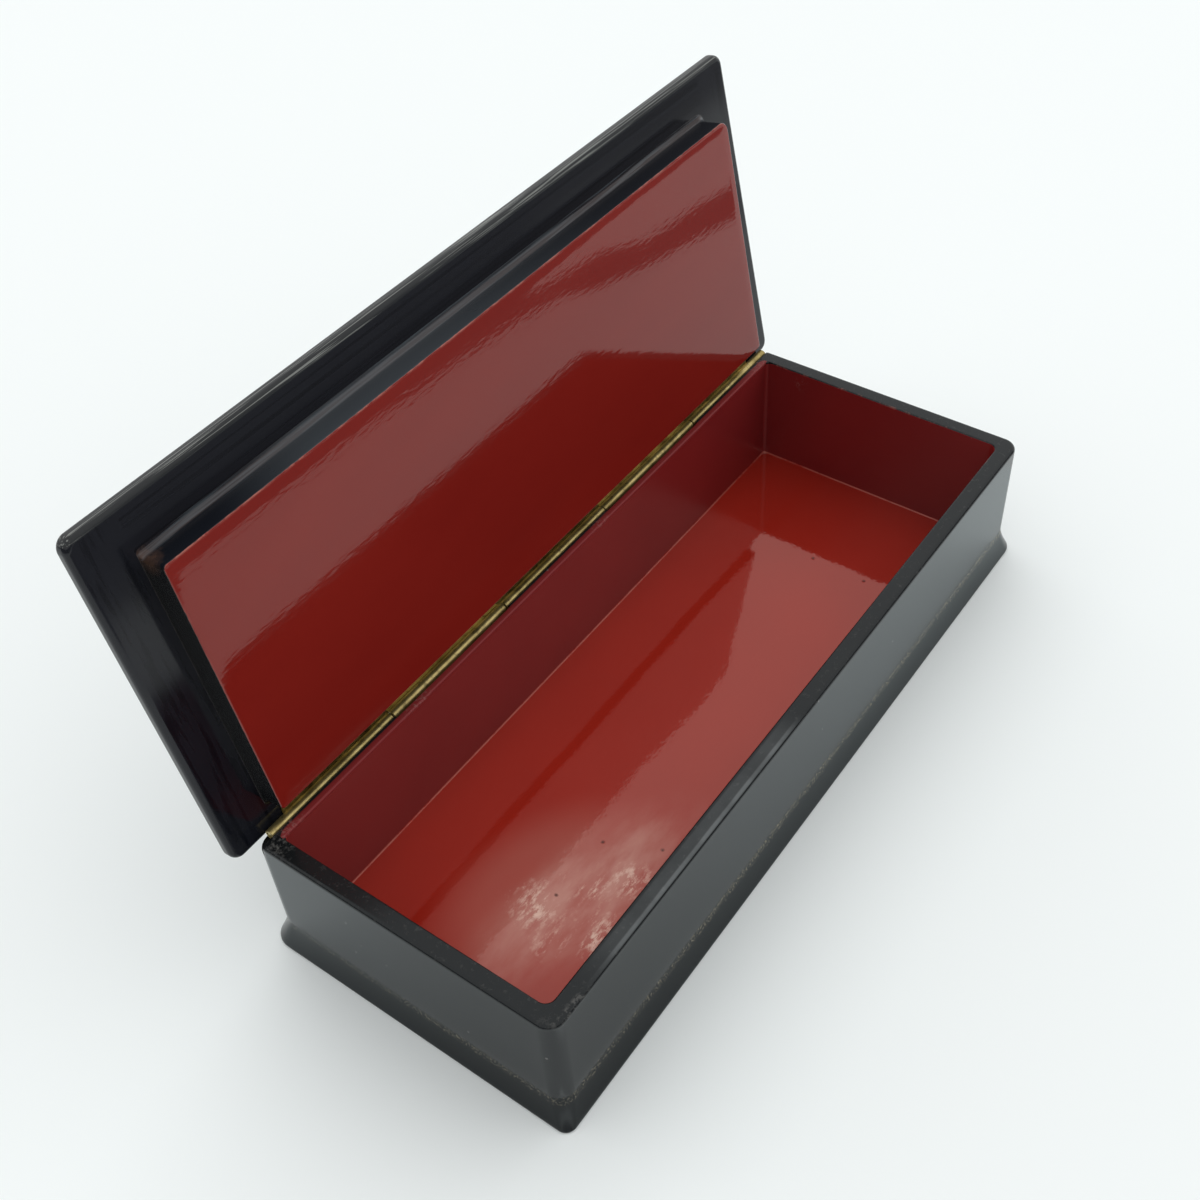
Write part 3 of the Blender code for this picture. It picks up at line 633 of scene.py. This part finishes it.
def stepRing(bm, loop, outward, rise, middle, cornerScale=1.0, outwardX=None):
    # pulls one more ring of faces from a rounded loop: a step outward on all four sides, and a step up
    outwardX = outward if outwardX is None else outwardX
    made = bmesh.ops.extrude_edge_only(bm, edges=loop)["geom"]
    verts = {g for g in made if isinstance(g, bmesh.types.BMVert)}
    for side in fourCorners:
        size = cornerScale[side] if isinstance(cornerScale, dict) else cornerScale
        shapeCorner(bm, verts, middle, side, size, (outwardX * side[0], outward * side[1], rise))
    return [g for g in made if isinstance(g, bmesh.types.BMEdge) and set(g.verts) <= verts]


def quarterTurn(steps):
    # the start and end angle of each step of a quarter round
    turns = [math.pi / 2 * k / steps for k in range(steps + 1)]
    return zip(turns, turns[1:])


def meshObject(name, bm):
    mesh = bpy.data.meshes.new(name)
    bm.to_mesh(mesh)
    bm.free()
    made = bpy.data.objects.new(name, mesh)
    bpy.context.scene.collection.objects.link(made)
    return made


def looseObject(bm):
    bmesh.ops.recalc_face_normals(bm, faces=bm.faces[:])
    return meshObject("loose", bm)


def combine(bm, others, operation):
    # one closed mesh from several: joined, or the others cut away
    solid = looseObject(bm)
    tools = [looseObject(other) for other in others]
    for tool in tools:
        joint = solid.modifiers.new("joint", "BOOLEAN")
        joint.operation = operation
        joint.solver = "EXACT"
        joint.object = tool
    bpy.context.view_layer.update()
    result = bmesh.new()
    result.from_mesh(solid.evaluated_get(bpy.context.evaluated_depsgraph_get()).to_mesh())
    for spare in [solid, *tools]:
        bpy.data.objects.remove(spare, do_unlink=True)
    return result


def boxTools(corners):
    made = []
    for low, high in corners:
        bm = bmesh.new()
        boxShape(bm, low, high)
        made.append(bm)
    return made


def makePiece(name, bm, body, stands, material, sharp=30):
    bmesh.ops.recalc_face_normals(bm, faces=bm.faces[:])
    piece = meshObject(name, bm)
    piece.data.shade_smooth()
    piece.data.set_sharp_from_angle(angle=math.radians(sharp))
    if body == "lid":
        piece.data.transform(swingOpen)
    evenNormals = piece.modifiers.new("evenNormals", "WEIGHTED_NORMAL")
    evenNormals.keep_sharp = True
    piece.data.materials.append(material)
    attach(piece, body)
    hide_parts(*stands)


# hinge: one strip of stock, its knuckles shared in turn between box and lid
hingeStrip = {
    "first": 38.6 * mm, "pitch": 40.3 * mm, "knuckles": 5, "space": 0.4 * mm, "sides": 36,
    "bore": 0.85 * mm, "lip": 0.12 * mm, "leaf": 0.6 * mm, "leafSetback": 6.0 * mm,
    "boxLeafDepth": 8.0 * mm, "lidNeck": 0.9 * mm, "gap": 0.3 * mm, "edge": 0.08 * mm, "edgeSteps": 2,
}
barrelRadius = barrelHigh.z - hingePoint.z
halfSpace = hingeStrip["space"] / 2
hingeLeft, hingeRight = barrelLow.x - halfSpace, barrelHigh.x + halfSpace
leafLeft, leafRight = hingeLeft + hingeStrip["leafSetback"], hingeRight - hingeStrip["leafSetback"]
meets = [hingeLeft + hingeStrip["first"] + k * hingeStrip["pitch"]
         for k in range(hingeStrip["knuckles"] - 1)]
knuckles = [(a + halfSpace, b - halfSpace) for a, b in zip([hingeLeft, *meets], [*meets, hingeRight])]
boxKnuckles, lidKnuckles = knuckles[0::2], knuckles[1::2]


# walls
def moveBack(bm, ring, step):
    back = {v for e in ring for v in e.verts if v.co.y > 0}
    bmesh.ops.translate(bm, verts=list(back), vec=(0, step, 0))


wall, thicker = wallRing["wall"], wallRing["backWall"] - wallRing["wall"]
innerCorners = {side: wallRing["backCorner" if side[1] > 0 else "innerCorner"] for side in fourCorners}
inward = {side: radius / wallRing["outerCorner"] for side, radius in innerCorners.items()}
outward = {side: 1 / share for side, share in inward.items()}
bm = bmesh.new()
roundedSlab(bm, wallsLow, wallsHigh, wallRing["outerCorner"], wallRing["cornerSteps"])
openUp(bm, wallsLow.z)
outerRim = openUp(bm, rimZ)
innerRim = stepRing(bm, outerRim, -wall, 0, origin, inward)
moveBack(bm, innerRim, -thicker)
innerFoot = stepRing(bm, innerRim, 0, wallsLow.z - rimZ, origin)
outerFoot = stepRing(bm, innerFoot, wall, 0, origin, outward)
moveBack(bm, outerFoot, thicker)
bmesh.ops.remove_doubles(bm, verts=bm.verts[:], dist=nearby)
roundOver(bm, [e for e in innerRim if e.is_valid], wallRing["innerRim"], wallRing["rimSteps"])
roundOver(bm, [e for e in outerRim if e.is_valid], wallRing["outerRim"], wallRing["rimSteps"])
rebateFloor = hingePoint.z - wallRing["rebateReach"]
rebateFront = hingePoint.y - wallRing["rebateReach"]
cuts = [((wallsLow.x - clear, rebateFront, rebateFloor),
         (wallsHigh.x + clear, wallsHigh.y + clear, rimZ + clear))]
for start, end in lidKnuckles:
    cuts.append(((start - hingeStrip["space"], rebateFront - wallRing["knuckleRelief"], rebateFloor),
                 (end + hingeStrip["space"], wallsHigh.y, rimZ + clear)))
bm = combine(bm, boxTools(cuts), "DIFFERENCE")
makePiece("wall_ring", bm, "box", ["box_walls"], wallLacquer)
print("walls done")

# red floor, with a thin fillet of lacquer run up round its edge
floorBoard = {"fillet": 0.35 * mm, "filletSteps": 4}
fillet = floorBoard["fillet"]
bm = bmesh.new()
roundedSlab(bm, Vector((*insideLow.xy, floorLow.z)), Vector((*insideHigh.xy, floorHigh.z)),
            wallRing["innerCorner"], wallRing["cornerSteps"])
for side, radius in innerCorners.items():
    shapeCorner(bm, bm.verts, insideMiddle, side, radius / wallRing["innerCorner"])
ring = openUp(bm, floorHigh.z)
bmesh.ops.translate(bm, verts=list({v for e in ring for v in e.verts}), vec=(0, 0, fillet))
for a, b in quarterTurn(floorBoard["filletSteps"]):
    ring = stepRing(bm, ring, fillet * (math.cos(b) - math.cos(a)), fillet * (math.sin(a) - math.sin(b)),
                    insideMiddle)
bmesh.ops.contextual_create(bm, geom=ring)
makePiece("floor_board", bm, "box", ["floor_panel"], floorLacquer, sharp=60)
print("floor done")

# moulded base: a tray with a round nose, and a cove that runs up into the wall
plinthMould = {
    "nose": 0.45 * mm, "noseTurn": 25, "noseSteps": 8, "coveTop": 7.8 * mm, "coveSteps": 12,
    "lip": 0.004 * mm, "tray": 1.4 * mm, "cornerSteps": 12,
    # worn unevenly
    "footCorners": {(-1, -1): 2.3 * mm, (1, -1): 6.0 * mm, (-1, 1): 5.5 * mm, (1, 1): 5.5 * mm},
}
projection = wallsLow.x - plinthLow.x
nose = plinthMould["nose"]
profile = []
for k in range(plinthMould["noseSteps"] + 1):
    turn = math.radians(-90 + (90 + plinthMould["noseTurn"]) * k / plinthMould["noseSteps"])
    profile.append((projection - nose + nose * math.cos(turn), nose + nose * math.sin(turn)))
noseEnd, noseTop = profile[-1]
coveRise, coveRun = plinthMould["coveTop"] - noseTop, noseEnd - plinthMould["lip"]
# the cove leaves the nose without a kink
coveBend = math.tan(math.radians(plinthMould["noseTurn"])) * coveRise / coveRun
for k in range(1, plinthMould["coveSteps"] + 1):
    up = k / plinthMould["coveSteps"]
    profile.append((plinthMould["lip"] + coveRun * (1 - up) ** coveBend, noseTop + coveRise * up))
# each ring's corners grow by a share, to reach the walls' corner at the top of the cove
growth = {side: (wallRing["outerCorner"] / radius) ** (1 / (len(profile) - 1))
          for side, radius in plinthMould["footCorners"].items()}
inner = [(0, plinthMould["coveTop"]), (0, plinthMould["tray"])]
footReach = Vector((profile[0][0], profile[0][0], 0))
bm = bmesh.new()
roundedSlab(bm, Vector((*wallsLow.xy, plinthLow.z)) - footReach,
            Vector((*wallsHigh.xy, plinthLow.z + nose)) + footReach,
            wallRing["outerCorner"], plinthMould["cornerSteps"])
under = flatFaces(bm, plinthLow.z)
bmesh.ops.delete(bm, geom=[f for f in bm.faces if f not in under], context="FACES")
for side, radius in plinthMould["footCorners"].items():
    shapeCorner(bm, bm.verts, origin, side, radius / wallRing["outerCorner"])
ring = list(bm.edges)
for (reachA, zA), (reachB, zB) in zip(profile, profile[1:]):
    ring = stepRing(bm, ring, reachB - reachA, zB - zA, origin, growth)
for (reachA, zA), (reachB, zB) in zip(profile[-1:] + inner, inner):
    ring = stepRing(bm, ring, reachB - reachA, zB - zA, origin)
bmesh.ops.contextual_create(bm, geom=ring)
makePiece("base_mould", bm, "box", ["base_plinth"], mouldLacquer, sharp=60)
print("base done")

# lid board, with a slight crown
lidBoard = {
    "corner": 2.9 * mm, "cornerSteps": 10, "underRound": 1.4 * mm, "topRound": 1.3 * mm, "roundSteps": 7,
    "edge": 3.7 * mm, "crownCuts": (28, 14), "crownBend": (3, 2), "leafRecess": 0.9 * mm,
}
lidTopEdge = lidLow.z + lidBoard["edge"]
crown = lidHigh.z - lidTopEdge
lidMiddle = (lidLow + lidHigh) / 2
lidHalf = (lidHigh - lidLow) / 2
bm = bmesh.new()
roundedSlab(bm, lidLow, Vector((*lidHigh.xy, lidTopEdge)), lidBoard["corner"], lidBoard["cornerSteps"])
roundOver(bm, flatEdges(bm, lidLow.z), lidBoard["underRound"], lidBoard["roundSteps"])
roundOver(bm, flatEdges(bm, lidTopEdge), lidBoard["topRound"], lidBoard["roundSteps"])
for axis, count in enumerate(lidBoard["crownCuts"]):
    across = Vector([1 if i == axis else 0 for i in range(3)])
    for k in range(1, count):
        step = lidHalf[axis] * math.sin(math.pi * (k / count - 0.5))  # closer together towards the edges
        top = flatFaces(bm, lidTopEdge)
        geom = list({v for f in top for v in f.verts}) + list({e for f in top for e in f.edges}) + top
        bmesh.ops.bisect_plane(bm, geom=geom, plane_co=lidMiddle + step * across, plane_no=across)
for v in {v for f in flatFaces(bm, lidTopEdge) for v in f.verts}:
    rise = crown
    for axis, bend in enumerate(lidBoard["crownBend"]):
        off = abs(v.co[axis] - lidMiddle[axis]) / (lidHalf[axis] - lidBoard["topRound"])
        rise *= max(0.0, 1 - off ** bend)
    v.co.z += rise
gap = hingeStrip["gap"]
recess = [((leafLeft - gap, lidLeafLow.y - gap, lidLow.z - clear),
           (leafRight + gap, gap, lidLow.z + lidBoard["leafRecess"]))]
bm = combine(bm, boxTools(recess), "DIFFERENCE")
makePiece("lid_top", bm, "lid", ["lid_board"], lidLacquer)
print("lid board done")

# plug under the lid, with a cove where it meets the board
cove, easeSteps = lidPlug["cove"], lidPlug["easeSteps"]
plugBase = lidLow.z - cove
faceEdge = plugLow.z + lidPlug["easeDrop"]
bm = bmesh.new()
roundedSlab(bm, Vector((*(plugLow + plugInset).xy, faceEdge)),
            Vector((*(plugHigh - plugInset).xy, plugBase)), lidPlug["corner"], lidPlug["cornerSteps"])
shapeCorner(bm, bm.verts, plugMiddle, (1, -1), lidPlug["wornCorner"] / lidPlug["corner"])
ring = openUp(bm, plugBase)
for a, b in quarterTurn(lidPlug["coveSteps"]):
    spread = cove * (math.cos(a) - math.cos(b))
    ring = stepRing(bm, ring, spread, cove * (math.sin(b) - math.sin(a)), plugMiddle,
                    outwardX=spread * lidPlug["coveEnds"])
bmesh.ops.contextual_create(bm, geom=ring)
roundOver(bm, flatEdges(bm, faceEdge), lidPlug["faceRound"], lidPlug["roundSteps"])
# the red face eases off towards its edge
ring = openUp(bm, faceEdge)
for k in range(easeSteps):
    a, b = (1 - ((easeSteps - k - i) / easeSteps) ** 2 for i in (0, 1))
    ring = stepRing(bm, ring, -lidPlug["easeWidth"] / easeSteps, -lidPlug["easeDrop"] * (b - a), plugMiddle,
                    lidPlug["easeCorner"])
bmesh.ops.contextual_create(bm, geom=ring)
# and leans a little, so that the plug is deepest at the front
for v in bm.verts:
    down = max(0.0, (plugBase - v.co.z) / (plugBase - plugLow.z))
    v.co.z += plugLean * (v.co.y - plugMiddle.y) * down
makePiece("lid_plug_panel", bm, "lid", ["lid_plug"], plugLacquer)
print("plug done")


# hinge leaves
def knuckle(start, end, centre):
    # its wall's section, spun about the hinge line
    radius, bore, lip = barrelRadius, hingeStrip["bore"], hingeStrip["lip"]
    section = [(start + lip, radius), (start, radius - lip), (start, bore),
               (end, bore), (end, radius - lip), (end - lip, radius)]
    bm = bmesh.new()
    verts, edges = closedLoop(bm, [(x, centre.y, centre.z + r) for x, r in section])
    bmesh.ops.spin(bm, geom=verts + edges, cent=(0, centre.y, centre.z), axis=(1, 0, 0), dvec=(0, 0, 0),
                   angle=math.tau, steps=hingeStrip["sides"], use_merge=True, use_duplicate=False)
    return bm


def hingeLeaf(name, body, node, centre, spans, strip, necks):
    bm = bmesh.new()
    boxShape(bm, *strip)
    roundOver(bm, list(bm.edges), hingeStrip["edge"], hingeStrip["edgeSteps"])
    parts = boxTools(necks) + [knuckle(start, end, centre) for start, end in spans]
    makePiece(name, combine(bm, parts, "UNION"), body, [node], agedBrass)


mouth = (barrelRadius + hingeStrip["bore"]) / 2
half = hingeStrip["leaf"] / 2
boxStrip = ((leafLeft, hingePoint.y - half, rebateFloor - hingeStrip["boxLeafDepth"]),
            (leafRight, hingePoint.y + half, rebateFloor))
boxNecks = [((max(start, leafLeft) + gap, hingePoint.y - half / 2, rebateFloor - half),
             (min(end, leafRight) - gap, hingePoint.y + half / 2, hingePoint.z - mouth))
            for start, end in boxKnuckles]
hingeLeaf("hinge_leaf_box", "box", "hinge_box_leaf", hingePoint, boxKnuckles, boxStrip, boxNecks)
lidStrip = ((leafLeft, lidLeafLow.y, lidLow.z), (leafRight, 0, lidLow.z + hingeStrip["leaf"]))
lidNecks = [((start + gap, -hingeStrip["lidNeck"], mouth), (end - gap, -gap, lidLow.z + half))
            for start, end in lidKnuckles]
hingeLeaf("hinge_leaf_lid", "lid", "hinge_lid_leaf", origin, lidKnuckles, lidStrip, lidNecks)
print("hinge done")

# the pins stay as the frame has them
for name, node in nodes.items():
    if not node.hide_render:
        node.data.materials.clear()
        node.data.materials.append(agedBrass)

# table, soft room and camera
studio = {
    "tableSize": 12.0, "tableColour": (0.885, 0.925, 0.922, 1), "tableRough": 0.7, "tableGloss": 0.1,
    "keyFrom": (0.64, 0.32, 0.70), "skyFrom": -0.35, "skyTo": 1.0, "skyLow": 0.36, "skyHigh": 1.52,
}
paleTable = newMaterial("paleTable", {
    "Base Color": studio["tableColour"], "Roughness": studio["tableRough"],
    "Specular IOR Level": studio["tableGloss"]})[0]
bm = bmesh.new()
bmesh.ops.create_grid(bm, x_segments=1, y_segments=1, size=studio["tableSize"] / 2)
table = meshObject("table", bm)
table.data.materials.append(paleTable)

# cards seen only in the gloss, which give painted reflections: a dark one lies in front and one stands low
# round the front and the left, both painted dark reflections, and a strip along the front and left walls is
# shaded towards the near corner, a painted shadow seen in the walls
flag = {
    "corners": [(-260, -175), (67, -171), (97, -168), (126, -162), (151, -160), (175, -156), (197, -148),
                (206, -131), (223, -120), (243, -112), (257, -105), (275, -96), (308, -119), (290, -127),
                (274, -133), (246, -137), (237, -155), (214, -163), (200, -170), (215, -182), (262, -200),
                (300, -212), (450, -205), (520, -200), (520, -460), (-260, -460)],
    "lift": 0.5 * mm, "colour": (0.16, 0.16, 0.17, 1), "rough": 0.9,
    "standReach": 1.3, "standTop": 0.55, "standFrom": 125, "standTurn": 200, "standSteps": 32,
    "strip": [(-124, 60), (-102.8, 60), (-102.8, -42.2), (130, -42.2), (130, -58), (-124, -58)],
    "stripShade": (0.42, 0.44, 0.44, 1), "stripFar": (0.88, 0.97, 0.98, 1),
    "stripFades": (-178 * mm, 35 * mm), "stripSlant": 1.2,
}
darkReflectionCard = newMaterial("darkReflectionCard", {"Base Color": flag["colour"], "Roughness": flag["rough"]})[0]
shadedCard, tree, shader = newMaterial("shadedCard", {"Roughness": flag["rough"]})
x, y = axes(tree, objectCoordinates(tree))[:2]
toFar = between(tree, calc(tree, "MULTIPLY_ADD", y, flag["stripSlant"], x), *flag["stripFades"])
tree.links.new(blendColour(tree, toFar, flag["stripShade"], flag["stripFar"]), shader.inputs["Base Color"])


def glossCard(name, bm, material):
    card = meshObject(name, bm)
    card.data.materials.append(material)
    card.visible_camera = False
    card.visible_diffuse = False
    card.visible_shadow = False


for name, corners, material in (("flag", flag["corners"], darkReflectionCard), ("strip", flag["strip"], shadedCard)):
    bm = bmesh.new()
    edges = closedLoop(bm, [(x * mm, y * mm, flag["lift"]) for x, y in corners])[1]
    bmesh.ops.contextual_create(bm, geom=edges)
    glossCard(name, bm, material)
bm = bmesh.new()
start = Matrix.Rotation(math.radians(flag["standFrom"]), 4, "Z") @ Vector((flag["standReach"], 0, 0))
post = [bm.verts.new((start.x, start.y, z)) for z in (flag["lift"], flag["standTop"])]
bmesh.ops.spin(bm, geom=post + [bm.edges.new(post)], cent=(0, 0, 0), axis=(0, 0, 1), dvec=(0, 0, 0),
               angle=math.radians(flag["standTurn"]), steps=flag["standSteps"],
               use_merge=False, use_duplicate=False)
glossCard("standingFlag", bm, darkReflectionCard)

world = bpy.data.worlds.new("softRoom")
world.use_nodes = True
tree = world.node_tree
background = tree.nodes["Background"]
direction = addNode(tree, "ShaderNodeTexCoord").outputs["Generated"]
facing = vectorCalc(tree, "DOT_PRODUCT", direction, Vector(studio["keyFrom"]).normalized())["Value"]
sky = addNode(tree, "ShaderNodeMapRange", {
    "Value": facing, "From Min": studio["skyFrom"], "From Max": studio["skyTo"],
    "To Min": studio["skyLow"], "To Max": studio["skyHigh"]}).outputs["Result"]
rays = addNode(tree, "ShaderNodeLightPath").outputs
seen = anyOf(tree, rays["Is Camera Ray"], rays["Is Glossy Ray"], rays["Is Transmission Ray"])
tree.links.new(blendValue(tree, seen, sky, 1.0), background.inputs["Strength"])
background.inputs["Color"].default_value = (1, 1, 1, 1)
bpy.context.scene.world = world
bpy.context.scene.view_settings.view_transform = "Standard"

photoCamera = {
    "place": (-0.19492, -0.13621, 0.28677), "turn": (44.3136, 3.2629, -54.1955),
    "lens": 44.632, "sensor": 36, "nearest": 10 * mm,
}
cameraData = bpy.data.cameras.new("photoCamera")
cameraData.lens = photoCamera["lens"]
cameraData.sensor_width = photoCamera["sensor"]
cameraData.clip_start = photoCamera["nearest"]
camera = bpy.data.objects.new("photoCamera", cameraData)
camera.location = photoCamera["place"]
camera.rotation_euler = [math.radians(a) for a in photoCamera["turn"]]
bpy.context.scene.collection.objects.link(camera)
bpy.context.scene.camera = camera
print("stage done")
